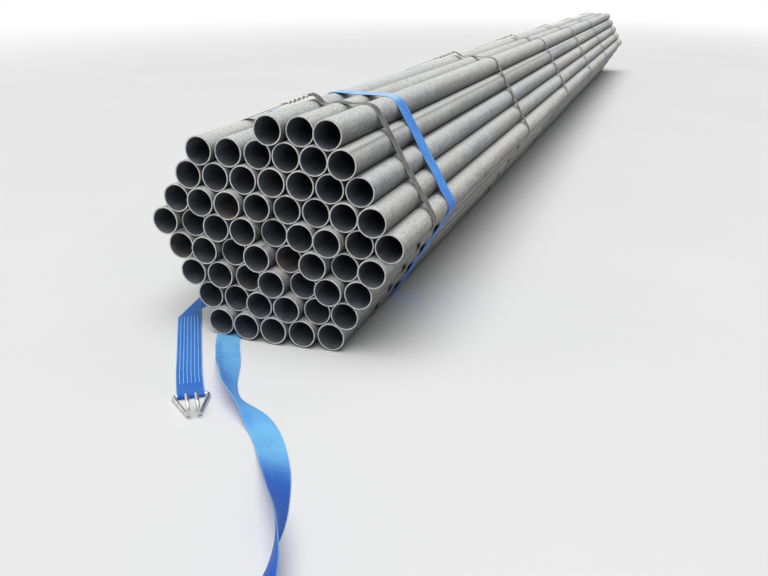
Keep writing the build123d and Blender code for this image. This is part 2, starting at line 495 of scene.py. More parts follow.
def strap_steel():
    """Waxed dull strapping, grey-brown, with rubbed pale edges."""
    n = Surface("strap_steel")
    mottle = n.noise(n.wall(w=5), 60, 6, 0.6)
    streak = n.noise(n.wall(v=0.02, w=9), 900, 4, 0.6)
    tone = n.total((mottle, 0.5), (streak, 0.5))
    wax = [(0.3, (0.06, 0.058, 0.053)), (0.52, (0.118, 0.114, 0.106)), (0.75, (0.24, 0.234, 0.22))]
    n.colour = n.ramp(tone, wax)
    edge = n.absolute(n.wall_parts()[0])
    edge = n.between(edge, STRAP_W / 2 - 0.0022, STRAP_W / 2 - 0.0004)
    n.lay(edge, 0.6, (0.5, 0.49, 0.46))
    rust = n.spots(n.wall(w=3), 35, 6, 0.7, 0.58, 0.72)
    n.lay(rust, 0.55, (0.2, 0.105, 0.055))
    rough = n.between(tone, 0.35, 0.7, 0.58, 0.38)
    return n.complete(n.bump(streak, 0.3, 0.0003), Roughness=rough, Metallic=0.6)


def seal_steel():
    """Pale zinc on crimped sheet, with spots of grime and scored lines."""
    n = Surface("seal_steel")
    mottle = n.noise(n.place(), 130, 6, 0.6)
    fine = n.noise(n.place(), 900, 3, 0.6)
    zincs = [(0.3, (0.36, 0.36, 0.35)), (0.5, (0.6, 0.6, 0.585)), (0.72, (0.78, 0.78, 0.76))]
    n.colour = n.ramp(mottle, zincs)
    grime = n.spots(n.place(), 45, 5, 0.7, 0.52, 0.7)
    n.lay(grime, 0.6, (0.17, 0.16, 0.145))
    scored = n.spots(n.wall(v=0.05, w=5), 900, 3, 0.6, 0.58, 0.7)
    n.lay(scored, 0.5, (0.22, 0.22, 0.21))
    rough = n.between(mottle, 0.3, 0.7, 0.32, 0.55)
    return n.complete(n.bump(fine, 0.4, 0.0004), Roughness=rough, Metallic=0.6)


def webbing():
    """Woven polyester: ribs across, warp yarns along, paler worn spots, a painted sky reflection where it faces up,
    and painted shade where it is turned, gathered, low on the tail and at the hook end.
    """
    n = Surface("webbing")
    across, along = n.wall_parts()
    # Ribs of the weft, bent a little, and the yarns between them
    slant = n.total((along, 1.0), (n.absolute(across), 0.12))
    rib = n.sine(slant, 0.0026)
    wide_rib = n.sine(slant, 0.0062)
    yarn = n.sine(across, 0.0016)
    weave = n.times(rib, yarn)
    height = n.total((rib, 0.4), (weave, 0.4))
    pulled = n.between(n.noise(n.wall(v=0.6, w=13), 14, 3, 0.5), 0.4, 0.6, 0.1, 0.75)
    # The loose tail is gathered at one edge where it bends, and across where it is rolled over
    on_tail = n.times(n.math("GREATER_THAN", n.own(), 0.2), n.math("LESS_THAN", n.own(), 0.8))
    bend = n.times(n.between(along, 0.3, 0.37), n.between(along, 0.56, 0.47))
    bend = n.times(bend, n.between(across, -0.004, 0.016))
    roll = n.times(n.between(along, 0.8, 0.87), n.between(across, 0.024, -0.012, 0.35, 1.0))
    gathered = n.times(n.math("MAXIMUM", bend, roll), on_tail)
    pulled = n.math("MAXIMUM", pulled, n.times(gathered, 1.5))
    gather = n.sine(n.total((along, 1.0), (across, 0.87)), 0.009)
    bend = n.times(bend, on_tail)
    wide_rib = n.times(wide_rib, n.minus(1.0, bend))
    wide_rib = n.plus(wide_rib, n.times(gather, bend))
    height = n.minus(height, n.times(n.times(wide_rib, pulled), 0.9))
    tone = n.noise(n.wall(w=3), 11, 5, 0.6)
    fibre = n.noise(n.wall(v=0.1, w=5), 900, 3, 0.6)
    blues = [(0.36, (0.03, 0.21, 0.82)), (0.5, (0.075, 0.345, 0.945)), (0.64, (0.15, 0.5, 0.99))]
    n.colour = n.ramp(n.total((tone, 0.7), (fibre, 0.3)), blues)
    # Where it faces up a painted sky reflection makes it paler, most on top of the pack, and painted shade makes its
    # hook side and sewn lap a deeper blue
    up = n.facing_up()
    painted_reflection = n.times(n.between(up, 0.52, 0.97), n.between(tone, 0.3, 0.6, 0.7, 1.0))
    on_pack = n.math("LESS_THAN", n.own(), 0.2)
    # The colour of the painted sky reflection, palest on the pack
    pale = n.mix(on_pack, (0.29, 0.73, 1.0), (0.66, 0.91, 1.0))
    painted_reflection_share = n.plus(n.times(on_pack, 0.22), 0.66)
    # Painted shade on the lower part of the tail, which also takes away most of the painted reflection there
    shaded = n.times(on_tail, n.between(along, 0.78, 0.94))
    painted_reflection_share = n.minus(painted_reflection_share, n.times(shaded, 0.58))
    n.lay(painted_reflection, painted_reflection_share, pale)
    # Painted shade: a deeper blue where the band is turned away from facing up
    turned = n.between(up, 0.62, 0.05)
    turned = n.math("MAXIMUM", n.times(turned, 0.72), n.times(shaded, 0.6))
    n.lay(turned, 1.0, (0.016, 0.115, 0.7))
    n.lay(shaded, 0.8, (0.003, 0.078, 0.54))
    # Painted shade: the hook side and the sewn lap are a deeper blue
    painted_hook_end_shade = n.math("GREATER_THAN", n.own(), 0.8)
    n.lay(painted_hook_end_shade, 0.86, (0.01, 0.128, 0.57))
    # Painted shade in the ribs and gathers, and the pits between the yarns are darker
    shade = n.times(n.between(wide_rib, -0.2, 1.0, 0.0, 0.62), pulled, clamp=True)
    n.lay(shade, 1.0, (0.006, 0.085, 0.52))
    pit = n.between(weave, 0.1, -0.9)
    n.lay(pit, 0.24, (0.008, 0.095, 0.56))
    # The selvedge is paler
    selvedge = n.between(n.absolute(across), WEB_W / 2 - 0.0022, WEB_W / 2 - 0.0006)
    n.lay(selvedge, 0.45, (0.33, 0.62, 0.95))
    worn = n.spots(n.wall(w=7), 30, 6, 0.65, 0.56, 0.72)
    n.lay(worn, 0.14, (0.4, 0.66, 0.88))
    return n.complete(
        n.bump(height, 0.6, 0.0006),
        Roughness=n.between(tone, 0.3, 0.7, 0.42, 0.56),
        Sheen_Weight=0.1,
        Sheen_Roughness=0.5,
        Sheen_Tint=(0.45, 0.86, 1.0),
        Specular_IOR_Level=0.12,
    )


def thread():
    """Sewing thread a little paler than the webbing."""
    n = Surface("sewing_thread")
    twist = n.noise(n.place(), 1500, 2, 0.5)
    n.colour = n.ramp(twist, [(0.3, (0.26, 0.6, 0.92)), (0.7, (0.5, 0.84, 1.0))])
    return n.complete(n.bump(twist, 0.4, 0.0002), Roughness=0.6, Sheen_Weight=0.3)


def zinc():
    """Zinc-plated wire, bright, with dull grey bloom."""
    n = Surface("zinc_wire")
    mottle = n.noise(n.place(), 150, 6, 0.6)
    bloom = n.spots(n.place(), 38, 5, 0.65, 0.45, 0.66)
    n.colour = n.ramp(mottle, [(0.3, (0.5, 0.5, 0.48)), (0.7, (0.82, 0.82, 0.79))])
    n.lay(bloom, 0.45, (0.36, 0.37, 0.37))
    rough = n.between(bloom, 0.0, 1.0, 0.22, 0.46)
    return n.complete(n.bump(mottle, 0.25, 0.0003), Roughness=rough, Metallic=0.9)


TUBE_MATERIALS = [tube_outside(), tube_cut(), tube_inside()]
STRAP_STEEL = strap_steel()
SEAL_STEEL = seal_steel()
WEBBING = webbing()
THREAD = thread()
ZINC = zinc()

# Tubes
AROUND = 64  # corners round a tube
OUTSIDE, CUT, INSIDE = range(3)
EDGE = 0.0005  # how far the sawn corners are broken
EDGE_DEPTH = EDGE * 0.8  # the same, along the tube
END_WANDER = ((1, 0.00022), (5, 0.00009))  # waves of a sawn end round the tube, and their heights
BEAD = {0: 0.0009, 1: 0.0004, AROUND - 1: 0.0004}  # height of the inner weld bead at each corner
RUSTY_BORES = {(4, 3), (6, 1), (6, 5), (7, 3)}


def tube_profile(front, rear):
    """One wall in section: Y, radius and the material of the face that starts there.

    The corners a little way in from the ends keep the shading of the long faces even.
    """
    outside = (front + EDGE_DEPTH, front + 0.02, rear - 0.02, rear - EDGE_DEPTH)
    inside = (rear - EDGE, rear - 0.3, front + 0.3, front + 0.04, front + EDGE)
    return [
        (front, TUBE_R - EDGE, OUTSIDE),
        *((y, TUBE_R, OUTSIDE) for y in outside),
        (rear, TUBE_R - EDGE, CUT),
        (rear, BORE_R + EDGE, INSIDE),
        *((y, BORE_R, INSIDE) for y in inside),
        (front, BORE_R + EDGE, CUT),
    ]


def add_tube(x, z, front, rear, own, seam, parts):
    """Adds one tube to the lists of a row: corners, faces, slots, UVs and own numbers."""
    verts, faces, slots, uvs, owns = parts
    profile = tube_profile(front, rear)
    first = len(verts)
    phase = rng.uniform(0, 2 * pi, 4)
    for y, radius, _ in profile:
        for k in range(AROUND):
            turn = 2 * pi * k / AROUND
            angle = turn + seam
            # The saw leaves the end a little out of flat
            wander = sum(h * sin(waves * angle + p) for (waves, h), p in zip(END_WANDER, phase))
            r = radius - (BEAD.get(k, 0.0) if radius < BORE_R + EDGE / 2 else 0.0)
            verts.append((x + r * sin(angle), y + wander, z + r * cos(angle)))
    girth = 2 * pi * TUBE_R
    for i, (y, _, slot) in enumerate(profile):
        j = (i + 1) % len(profile)
        y_next = profile[j][0]
        here, there = first + i * AROUND, first + j * AROUND
        for k in range(AROUND):
            m = (k + 1) % AROUND
            faces.append((here + k, there + k, there + m, here + m))
            u0 = (k / AROUND - (1 if k >= AROUND / 2 else 0)) * girth
            u1 = u0 + girth / AROUND
            uvs += [(u0, y - front), (u0, y_next - front), (u1, y_next - front), (u1, y - front)]
        slots += [slot] * AROUND
        owns += [own] * AROUND


for row, row_tubes in tubes.items():
    parts = ([], [], [], [], [])
    for slot, (x, z, front, rear) in row_tubes.items():
        own = rng.uniform(0.0, 0.6)
        if (row, slot) in RUSTY_BORES:
            own = rng.uniform(0.9, 1.0)
        add_tube(x, z, front, rear, own, rng.uniform(0, 2 * pi), parts)
    verts, faces, slots, uvs, owns = parts
    piece = make_object(f"tubes_{row}", verts, faces, TUBE_MATERIALS, 35, uvs, slots)
    own_number(piece, owns)
    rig.ride(piece, "root")
    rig.replaces(piece, f"tube_row_{row}")
    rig.slot(piece, "tube_steel")


# Bands
ARC_STEP = radians(7)


def tangent_arcs(corners, first=None, last=None):
    """The points on each circle of a band pulled round circles.

    The circles are (x, z, radius), clockwise seen from the front. The band is closed, unless
    the first and last outward angles are given.
    """
    closed = first is None
    following = corners[1:] + corners[:1] if closed else corners[1:]
    turns = []
    for (x0, z0, r0), (x1, z1, r1) in zip(corners, following):
        along = atan2(z1 - z0, x1 - x0)
        turns.append(along + acos((r0 - r1) / hypot(x1 - x0, z1 - z0)))
    starts = turns[-1:] + turns[:-1] if closed else [first] + turns
    ends = turns if closed else turns + [last]
    arcs = []
    for (x, z, r), start, end in zip(corners, starts, ends):
        sweep = (start - end) % (2 * pi)
        if sweep > 2 * pi - 0.01:  # a band that only touches the circle
            sweep = 0.0
        steps = ceil(sweep / ARC_STEP)
        angles = [start - sweep * k / steps for k in range(steps + 1)] if steps else [start]
        arcs.append([(x + r * cos(a), z + r * sin(a)) for a in angles])
    return arcs


def subdivided(points, step):
    """The same line, with points added on runs longer than the step."""
    line = [points[0]]
    for a, b in zip(points, points[1:]):
        a, b = np.array(a), np.array(b)
        parts = max(1, ceil(np.linalg.norm(b - a) / step))
        line += [tuple(a + (b - a) * k / parts) for k in range(1, parts + 1)]
    return line


def smooth_through(points, parts=4):
    """A smooth line through points that were given."""
    p = np.array(points, dtype=float)
    p = np.concatenate([[2 * p[0] - p[1]], p, [2 * p[-1] - p[-2]]])
    line = []
    for a, b, c, d in zip(p, p[1:], p[2:], p[3:]):
        for k in range(parts):
            t = k / parts
            bend, twist = 2 * a - 5 * b + 4 * c - d, 3 * b - a - 3 * c + d
            line.append(0.5 * (2 * b + (c - a) * t + bend * t**2 + twist * t**3))
    return [tuple(q) for q in line] + [tuple(p[-2])]


def thin_out(points, closest=0.0002):
    """Leaves out points that lie on top of the one before."""
    kept = [points[0]]
    for p in points[1:]:
        if np.linalg.norm(np.array(p) - np.array(kept[-1])) > closest:
            kept.append(p)
    return kept


def line_lengths(line, closed=False):
    """How far along a line each of its points is."""
    ends = np.concatenate([line, line[:1]]) if closed else line
    return np.concatenate([[0], np.cumsum(np.linalg.norm(np.diff(ends, axis=0), axis=1))])


def even_steps(line, step):
    """Points at even steps along a line."""
    at = line_lengths(line)
    wanted = np.linspace(0, at[-1], max(2, round(at[-1] / step) + 1))
    return np.stack([np.interp(wanted, at, line[:, k]) for k in range(line.shape[1])], axis=1)


def directions(line, closed=False):
    """Unit directions along a line of points."""
    if closed:
        return unit(np.roll(line, -1, axis=0) - np.roll(line, 1, axis=0))
    return unit(np.gradient(line, axis=0))


def smooth(x, low, high):
    """A smooth step of x from 0 at low to 1 at high."""
    t = np.clip((x - low) / (high - low), 0, 1)
    return t * t * (3 - 2 * t)


def band_section(width, thickness, columns, round_edge):
    """The section of a flat band as (across, up) pairs, over the top and back below."""
    across = np.linspace(-width / 2, width / 2, columns)
    half = np.full(columns, thickness / 2)
    half[0] = half[-1] = thickness / 2 * (1 - round_edge)
    return list(zip(across, half)) + list(zip(across[::-1], -half[::-1]))


def band_object(name, rings, section, lengths, material, closed=False, own=None):
    """A band from its rings of corners. lengths has how far along it each ring is."""
    count, around = len(rings), len(section)
    faces, uvs = [], []
    for i in range(count if closed else count - 1):
        j = (i + 1) % count
        for k in range(around):
            m = (k + 1) % around
            faces.append((i * around + k, i * around + m, j * around + m, j * around + k))
            a, b = section[k][0], section[m][0]
            uvs += [(a, lengths[i]), (b, lengths[i]), (b, lengths[i + 1]), (a, lengths[i + 1])]
    if not closed:
        for i, order in ((0, -1), (count - 1, 1)):
            faces.append(tuple(i * around + k for k in range(around))[::order])
            uvs += [(section[k][0], lengths[i] + section[k][1]) for k in range(around)][::order]
    verts = [v for ring in rings for v in ring]
    obj = make_object(name, verts, faces, [material], 50, uvs)
    own_number(obj, np.full(len(faces), rng.uniform() if own is None else own))
    return obj


def band_rings(line, side, section, closed=False, relief=None):
    """Rings of corners along a line.

    side is the direction across at each point, and relief(across, place) lifts it.
    """
    along = directions(line, closed)
    side = unit(side - (side * along).sum(1)[:, None] * along)
    up = np.cross(side, along)
    rings = []
    for p, s, u in zip(line, side, up):
        rings.append([p + s * a + u * (h + (relief(a, p) if relief else 0.0)) for a, h in section])
    return rings


def corner(row, slot, gap):
    """The circle that a band turns on at one tube."""
    x, z, _, _ = tubes[row][slot]
    return (x, z, TUBE_R + gap)


def band_corners(gap, crown_gap):
    """The corners of the pack, clockwise from the widest tube on the left."""
    left = [corner(SIDE_COUNT, 1, gap), corner(2, 1, gap)]
    crown = corner(1, 1 + MISSING_COUNT, crown_gap)
    right = [corner(1, SIDE_COUNT, gap), corner(SIDE_COUNT, ROW_COUNT, gap)]
    under = [corner(ROW_COUNT, SIDE_COUNT, gap), corner(ROW_COUNT, 1, gap)]
    return [*left, crown, *right, *under]


ACROSS = np.array([0.0, -1.0, 0.0])  # across every band that runs round the pack
CROWN_X, CROWN_Z, _ = corner(1, 1 + MISSING_COUNT, 0)

# Steel straps
STRAP_MIDDLE = STRAP_GAP + STRAP_T / 2
SPAN_REACH = 0.016  # how far the straight span runs on past the crown tube's slope
# From the middle of the crown tube: where the slack strap dips into the grooves, across and up
STRAP_DIP = [
    (0.0075, 0.0402), (0.013, 0.0368), (0.0185, 0.0316), (0.0235, 0.0268), (0.0295, 0.0245),
    (0.037, 0.0255), (0.046, 0.0286), (0.055, 0.0308), (0.064, 0.0313), (0.076, 0.0304),
    (0.09, 0.029), (0.106, 0.03), (0.117, 0.0309),
]
SEAL_GAP = 0.0002
CRIMP_RISE = 0.0018
CRIMP_EDGE = (0.004, 0.0118)  # from the middle, where a crimp's rise starts and ends
NIP_DEPTH = 0.0013
NIP_EDGE = (0.009, 0.0125)
SWAY = 0.0026  # of a strap along the pack, to either side
LIFT = 0.0008  # of a strap off its line on the right
CUT_END_RISE = 0.003
LOOP_STEP, CRIMP_STEP = 0.006, 0.0014  # between points of a strap, and where it is crimped

strap_arcs = tangent_arcs(band_corners(STRAP_MIDDLE, STRAP_SLACK + STRAP_T / 2))
span_top = np.array(strap_arcs[2][0])
span_foot = np.array(strap_arcs[1][-1])
SPAN_ALONG = unit(span_foot - span_top)
SPAN_OUT = np.array([SPAN_ALONG[1], -SPAN_ALONG[0]])
span_top = span_top - SPAN_ALONG * SPAN_REACH
seal_middle = span_top + SPAN_ALONG * (SEAL_SETBACK + SEAL_LENGTH / 2)


def crimp(along, across):
    """How far a seal's nipped edges, and the strap between them, are pressed up or down."""
    edge = smooth(abs(across), *CRIMP_EDGE)
    fade = smooth(SEAL_LENGTH / 2 - abs(along), -0.003, 0.005)
    return -CRIMP_RISE * edge * fade * cos(2 * pi * SEAL_WAVES * along / SEAL_LENGTH)


def strap_relief(across, place):
    """The crimps in the strap itself, where it runs through its seal."""
    along = (place[[0, 2]] - seal_middle) @ SPAN_ALONG
    off_line = abs((place[[0, 2]] - seal_middle) @ SPAN_OUT)
    return crimp(along, across) if off_line < 0.002 else 0.0


strap_section = band_section(STRAP_W, STRAP_T, 9, 0.6)


def strap_loop(station, dip, phase):
    """The middle line of one strap. dip is how far it sinks into the grooves, from 0 to 1."""
    (x0, z0), (x1, z1) = STRAP_DIP[0], STRAP_DIP[-1]
    sunk = []
    for x, z in STRAP_DIP:
        straight = z0 + (z1 - z0) * (x - x0) / (x1 - x0)
        sunk.append((CROWN_X + x, CROWN_Z + straight + (z - straight) * dip))
    top = smooth_through([tuple(span_top)] + sunk + [strap_arcs[3][0]])
    span = subdivided([tuple(span_foot), tuple(span_top)], CRIMP_STEP)
    line = subdivided(strap_arcs[0] + strap_arcs[1], LOOP_STEP) + span + top
    rest = subdivided([p for arc in strap_arcs[3:] for p in arc] + [strap_arcs[0][0]], LOOP_STEP)
    flat = np.array(thin_out(line + rest, 0.0005)[:-1])
    x, z = flat.T
    sway = SWAY * smooth(x, CROWN_X + 0.02, CROWN_X + 0.2) * np.sin(14 * z + phase)
    lift = LIFT * smooth(x, CROWN_X + 0.13, CROWN_X + 0.2) * (1 + np.sin(40 * z + 2 * phase))
    return np.stack([x + lift, station + sway, z], axis=1)


def span_place(along, across, up, station):
    """A point by the strap's straight span, measured from the middle of its seal."""
    x, z = seal_middle + SPAN_ALONG * along + SPAN_OUT * up
    return np.array([x, station - across, z])


def strap_outer_end(station):
    """Rings of the strap's second layer: through the seal, with its cut end lying beyond it.

    It starts hidden in the strap under it and is cut a little askew.
    """
    start, end = -SEAL_LENGTH / 2 - 0.003, SEAL_LENGTH / 2 + STRAP_END
    places = np.linspace(start, end, 60)
    rings = []
    for t in places:
        up = STRAP_T * smooth(t, start, -SEAL_LENGTH / 2 + 0.002) - 0.00005
        up += CUT_END_RISE * smooth(t, SEAL_LENGTH / 2, end + 0.006) ** 2
        skew = 0.0016 * smooth(t, end - 0.01, end)
        ring = []
        for a, h in strap_section:
            ring.append(span_place(t + skew * a / STRAP_W, a, up + h + crimp(t, a), station))
        rings.append(ring)
    return rings, places - start


def seal_section():
    """The sleeve in section, as (across, up) from the middle of the strap."""
    half_in = STRAP_W / 2 + SEAL_GAP
    half_out = half_in + SEAL_WALL
    low, high = -STRAP_T / 2 - SEAL_GAP, STRAP_T * 1.5 + SEAL_GAP
    under, over = low - SEAL_WALL, high + SEAL_WALL
    turn = 0.0007  # of the sleeve's outer edges
    slit, mid_low = 0.002, 0.007
    top = (0.01, 0.007, 0.004)
    outside = [(slit, under), (mid_low, under), (half_out - turn, under), (half_out, under + turn)]
    outside += [(half_out, over - turn), (half_out - turn, over)] + [(a, over) for a in top]
    inside = [(a, high) for a in reversed(top)]
    inside += [(half_in, high), (half_in, low), (mid_low, low), (slit, low)]
    mirrored_out = [(-a, h) for a, h in reversed(outside)]
    mirrored_in = [(-a, h) for a, h in reversed(inside)]
    return outside + mirrored_out + mirrored_in + inside


def seal_rings(station):
    """Rings of the sleeve along its length, nipped in and pressed up and down at its edges."""
    places = np.linspace(-SEAL_LENGTH / 2, SEAL_LENGTH / 2, 71)
    section = seal_section()
    rings = []
    for t in places:
        nip = max(0.0, cos(2 * pi * SEAL_WAVES * t / SEAL_LENGTH)) ** 2
        ring = []
        for a, h in section:
            share = nip * NIP_DEPTH / (STRAP_W / 2 + SEAL_WALL) * smooth(abs(a), *NIP_EDGE)
            ring.append(span_place(t, a * (1 - share), h + crimp(t, a), station))
        rings.append(ring)
    return rings, section, places - places[0]


for number in range(1, STRAP_COUNT + 1):
    low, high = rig.box(f"steel_strap_{number}")
    station = (low.y + high.y) / 2
    dip = 1.0 if number == 1 else rng.uniform(0.3, 0.8)
    loop = strap_loop(station, dip, rng.uniform(0, 2 * pi))
    side = np.tile(ACROSS, (len(loop), 1))
    rings = band_rings(loop, side, strap_section, closed=True, relief=strap_relief)
    lengths = line_lengths(loop, True)
    name = f"strap_band_{number}"
    band = band_object(name, rings, strap_section, lengths, STRAP_STEEL, closed=True)
    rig.ride(band, "root")
    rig.replaces(band, f"steel_strap_{number}")
    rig.slot(band, "strap_steel")
    rings, lengths = strap_outer_end(station)
    end_piece = band_object(f"strap_end_{number}", rings, strap_section, lengths, STRAP_STEEL)
    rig.ride(end_piece, "root")
    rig.slot(end_piece, "strap_steel")
    rings, section, lengths = seal_rings(station)
    seal = band_object(f"crimped_seal_{number}", rings, section, lengths, SEAL_STEEL)
    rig.ride(seal, "root")
    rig.replaces(seal, f"strap_seal_{number}")
    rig.slot(seal, "seal_steel")

# Webbing
WEB_MIDDLE = WEB_GAP + WEB_T / 2
FLOOR_Z = WEB_T / 2
FOLD_R = 0.0016
FOLD_TURN = pi * FOLD_R
UPWARD = np.array([0.0, 0.0, 1.0])
OWN_PACK, OWN_TAIL, OWN_HOOK_SIDE, OWN_LAP = 0.1, 0.3, 0.9, 1.0  # read by the material
web_section = band_section(WEB_W, WEB_T, 15, 0.45)


def heading(degrees):
    """A way on the floor, turned from +X towards +Y."""
    return np.array([cos(radians(degrees)), sin(radians(degrees))])


class FlatRun:
    """A band lying on the floor, folded over itself at straight creases.

    folds has how far along its middle each crease is, with the way that it goes on in. After a
    crease the band comes down to the floor between the two distances of lie_down.
    """

    def __init__(self, start, way, folds, sense=1, lie_down=(0.03, 0.07)):
        self.start = np.array(start, dtype=float)
        self.way, self.folds, self.sense, self.lie_down = way, folds, sense, lie_down

    def place(self, s, across, up):
        """A point of the band: s along it, across it, and up from its middle."""
        origin, way, sense, raised = self.start, self.way, self.sense, 0.0
        side = np.array([-way[1], way[0]])
        for distance, new_way in self.folds:
            onward = unit(way - new_way)
            crease = origin + way * distance
            point = origin + way * s + side * across
            past = (point - crease) @ onward
            if past <= 0:
                break
            if past < FOLD_TURN:
                angle = past / FOLD_R
                flat = point - onward * (past - FOLD_R * sin(angle))
                place = np.array([*flat, FLOOR_Z + raised + FOLD_R * (1 - cos(angle))])
                out = UPWARD * cos(angle) - np.array([*onward, 0]) * sin(angle)
                return place + sense * out * up
            origin = origin - onward * (2 * (origin - crease) @ onward - FOLD_TURN)
            way = way - 2 * (way @ onward) * onward
            side = side - 2 * (side @ onward) * onward
            sense = -sense
            raised = 2 * FOLD_R * (1 - smooth(past - FOLD_TURN, *self.lie_down))
        flat = origin + way * s + side * across
        return np.array([*flat, FLOOR_Z + raised + sense * up])

    def slants(self):
        """For each crease: how far along it is, the length of its bend, and a ring's lean."""
        found = []
        way, side = self.way, np.array([-self.way[1], self.way[0]])
        for distance, new_way in self.folds:
            onward = unit(way - new_way)
            found.append((distance, FOLD_TURN / (way @ onward), -(side @ onward) / (way @ onward)))
            way = way - 2 * (way @ onward) * onward
            side = side - 2 * (side @ onward) * onward
        return found


def slanted_stations(length, slants, step, reach, fine=0.0008):
    """How far along each ring of a folded band is, and its lean towards the nearest crease."""
    marks = [(0.0, 0.0)]
    for at, bend, slant in slants:
        before = max(at - reach, marks[-1][0] + 0.001)
        if marks[-1][1] == 0:
            marks.append((before, 0.0))
        marks += [(at - 0.002, slant), (at + bend + 0.002, slant)]
    marks += [(min(marks[-1][0] + reach, length - 0.001), 0.0), (length, 0.0)]
    stations = [0.0]
    while stations[-1] < length - step * 0.6:
        s = stations[-1]
        near = any(at - 0.003 < s < at + bend + 0.003 for at, bend, _ in slants)
        stations.append(s + (fine if near else step))
    stations[-1] = length
    places, values = zip(*marks)
    return [(s, float(np.interp(s, places, values))) for s in stations]


# Round the pack, from the floor on the left over the top and under it to the fold of the tail
TAIL_FOLD_X = -0.1644
TAIL_FOLD_REACH = 0.055
HEEL_R = 0.007  # of the bend from the hanging run on to the floor
HANG_BULGE = 0.005  # of the hanging run, outwards
SPAN_SAG = 0.0115  # of the free span from the top row down to the left
SPAN_STEPS = np.linspace(0, 1, 40)[1:-1]


def wrap_profile():
    """The line of the webbing seen along the pack, up to where it meets the floor again."""
    arcs = tangent_arcs(band_corners(WEB_MIDDLE, WEB_MIDDLE), first=pi, last=-pi / 2)
    hang_x, hang_top = arcs[0][0]
    heel_top = FLOOR_Z + HEEL_R
    points = []
    for t in np.radians(range(0, 91, 10)):
        points.append((hang_x + HEEL_R * (1 - sin(t)), heel_top - HEEL_R * cos(t)))
    for t in SPAN_STEPS:
        bulge = HANG_BULGE * sin(pi * t) ** 2
        points.append((hang_x - bulge, heel_top + (hang_top - heel_top) * t))
    points += arcs[0] + arcs[1]
    foot, top = np.array(arcs[1][-1]), np.array(arcs[2][0])
    inward = unit(np.array([top[1] - foot[1], foot[0] - top[0]]))
    for t in SPAN_STEPS:
        place = foot + (top - foot) * t + inward * SPAN_SAG * sin(pi * t)
        for x, z, radius in band_corners(WEB_MIDDLE, WEB_MIDDLE)[1:3]:
            off = place - (x, z)
            if np.linalg.norm(off) < radius:
                place = (x, z) + unit(off) * radius
        points.append(tuple(place))
    points += [p for arc in arcs[2:] for p in arc]
    return np.array(thin_out(subdivided(points, 0.005), 0.0008))


profile = wrap_profile()
profile_at = line_lengths(profile)
profile_way = directions(profile)
ROUND_LENGTH = profile_at[-1]
tail_fold = profile[-1][0] - TAIL_FOLD_X
tail_run = FlatRun(
    (profile[-1][0], WEB_Y),
    heading(180),
    [(tail_fold, heading(-90))],
    sense=-1,
    lie_down=(1.0, 1.1),
)


def wrap_wrinkle(s, across, z):
    """Small waves of the webbing, most at its edges, that fade out towards the floor."""
    edge = smooth(abs(across), 0.008, 0.025)
    wave = 0.0007 * edge * sin(70 * s + 9 * across) * sin(11 * s) + 0.0003 * sin(31 * s)
    return wave * smooth(z, 0.004, 0.04)


def wrap_point(s, across, up):
    """A point of the webbing: s along it, across it, and up from its middle, outwards."""
    if s > ROUND_LENGTH:
        return tail_run.place(s - ROUND_LENGTH, across, up)
    x, z = (np.interp(s, profile_at, profile[:, k]) for k in (0, 1))
    way = unit(np.array([np.interp(s, profile_at, profile_way[:, k]) for k in (0, 1)]))
    out = np.array([-way[1], 0.0, way[0]])
    return np.array([x, WEB_Y - across, z]) + out * (up + wrap_wrinkle(s, across, z))


def folded_webbing(name, place, length, slants, own, reach=0.09):
    """A piece of the webbing, from a function that places a point (along, across, up) of it."""
    stations = slanted_stations(length, slants, 0.0045, reach)
    rings = [
        [place(min(max(s + lean * a, 0.0), length), a, h) for a, h in web_section]
        for s, lean in stations
    ]
    return band_object(name, rings, web_section, [s for s, _ in stations], WEBBING, own=own)


wrap_length = ROUND_LENGTH + tail_fold + TAIL_FOLD_REACH
tail_slants = [(ROUND_LENGTH + at, bend, slant) for at, bend, slant in tail_run.slants()]
wrap = folded_webbing(
    "webbing_round_pack", wrap_point, wrap_length, tail_slants, OWN_PACK, reach=0.04
)
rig.ride(wrap, "root")
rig.replaces(wrap, "webbing_wrap")
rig.slot(wrap, "webbing")


def spline_points(route, count):
    """Points of a smooth NURBS line with the route's points as its control points."""
    curve = bpy.data.curves.new("route", "CURVE")
    curve.dimensions = "3D"
    curve.resolution_u = count
    spline = curve.splines.new("NURBS")
    spline.points.add(len(route) - 1)
    for point, place in zip(spline.points, route):
        point.co = (*place, 1)
    spline.order_u = 3
    spline.use_endpoint_u = True
    holder = bpy.data.objects.new("route", curve)
    mesh = bpy.data.meshes.new_from_object(holder)
    points = [tuple(v.co) for v in mesh.vertices]
    bpy.data.objects.remove(holder)
    bpy.data.meshes.remove(mesh)
    return np.array(thin_out(points))


def turned_side(line, roll):
    """The direction across a band that lies on the floor and is rolled about its own line."""
    along = directions(line)
    flat = unit(np.cross(along, UPWARD))
    up = np.cross(flat, along)
    return flat * np.cos(roll)[:, None] + up * np.sin(roll)[:, None]


# The tail: a smooth line on the floor, rolled once to one side and then twisted by half a turn
TAIL_POINTS = [
    (-0.166, -2.8), (-0.148, -2.915), (-0.1, -3.03), (-0.048, -3.112), (-0.004, -3.19),
    (0.036, -3.248), (0.104, -3.283), (0.16, -3.335), (0.214, -3.415), (0.262, -3.5),
    (0.296, -3.57), (0.32, -3.64), (0.331, -3.722),
]
crease_end = FOLD_TURN / sqrt(2)
tail_start = (TAIL_FOLD_X - crease_end, WEB_Y - TAIL_FOLD_REACH + crease_end)
tail_route = [(x, y, FLOOR_Z) for x, y in [tail_start] + TAIL_POINTS]
TAIL_LEAN = radians(52)
# How far ahead of Y = 0 the tail leans over, comes back, and is twisted by half a turn
LEAN_STARTS, LEAN_FULL, LEAN_EASES, LEAN_ENDS = 3.075, 3.215, 3.245, 3.315
TWIST_STARTS, TWIST_ENDS = 3.305, 3.825
TAIL_WAVE = 0.0005  # of its edges


